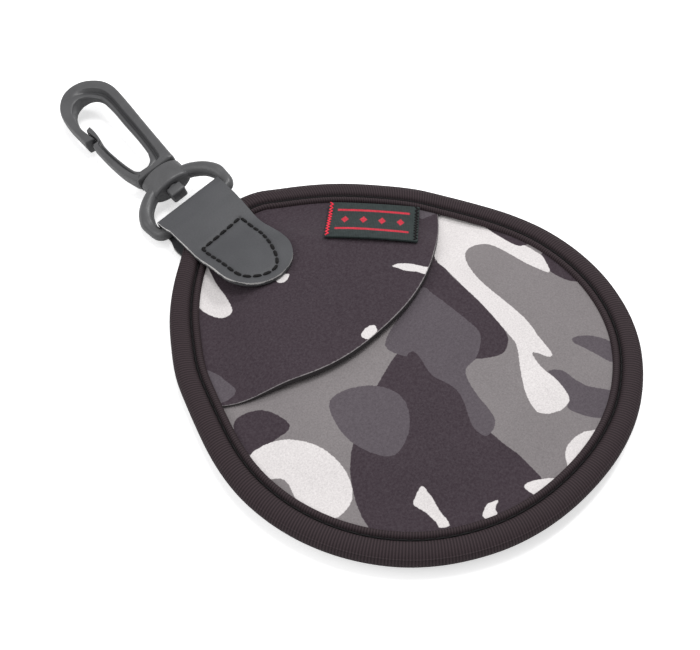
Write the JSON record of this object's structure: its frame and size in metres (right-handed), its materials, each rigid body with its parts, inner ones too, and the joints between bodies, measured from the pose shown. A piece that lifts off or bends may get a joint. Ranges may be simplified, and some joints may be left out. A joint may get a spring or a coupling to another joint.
{
  "type": "lens filter case",
  "caption": "Round soft pouch for a camera lens filter, with an envelope flap over its mouth, bound edge, sewn leather tab and a plastic swivel snap hook.",
  "frame": {"origin": "on the flat resting face of the back, under the centre of the pouch's round lower part", "axes": "+Y from the pouch's round end towards the leather tab and the hook, +Z out of the front, which carries the mouth and the label"},
  "size_m": [0.1098, 0.1883, 0.0127],
  "materials": {
    "neoprene_back": "matt jersey face",
    "neoprene_camo": "matt jersey face, printed camouflage",
    "neoprene_flap": "matt jersey face, printed camouflage",
    "grosgrain": "ribbed tape",
    "black_thread": "polyester thread",
    "label_weave": "woven ribbon",
    "red_thread": "woven thread",
    "leather": "smooth, fine grain, pale cut edges",
    "hook_plastic": "moulded, fine texture"
  },
  "bodies": {
    "pouch": {"back_panel": "neoprene_back", "pocket_panel": "neoprene_camo", "flap_base": "neoprene_flap", "edge_binding": "grosgrain", "binding_front_stitching": "black_thread", "binding_back_stitching": "black_thread", "woven_label": "label_weave", "label_upper_stitching": "red_thread", "label_lower_stitching": "black_thread", "leather_tab": "leather", "tab_front_stitching": "black_thread", "tab_back_stitching": "black_thread"},
    "flap": {"flap_tongue": "neoprene_flap"},
    "loop": {"swivel_loop": "hook_plastic"},
    "hook": {"snap_hook": "hook_plastic"},
    "gate": {"hook_gate": "hook_plastic"}
  },
  "joints": [
    {"name": "flap_fold", "type": "hinge", "parent": "pouch", "child": "flap", "pos_m": [0, 0.01965, 0.0104], "axis": [-1, 0, 0], "range_deg": [0, 110], "stiffness_Nm_per_rad": 0.0005},
    {"name": "loop_pivot", "type": "hinge", "parent": "pouch", "child": "loop", "pos_m": [-0.0032, 0.0727, 0.0059], "axis": [0.9604, -0.1384, 0.2419], "range_deg": [-100, 110]},
    {"name": "hook_swivel", "type": "hinge", "parent": "loop", "child": "hook", "pos_m": [-0.0012, 0.08661, 0.0059], "axis": [0.1426, 0.9898, 0], "continuous": true},
    {"name": "gate_flex", "type": "hinge", "parent": "hook", "child": "gate", "pos_m": [-0.00462, 0.09413, 0.00479], "axis": [0.2394, -0.0345, -0.9703], "range_deg": [0, 13], "stiffness_Nm_per_rad": 0.02}
  ]
}
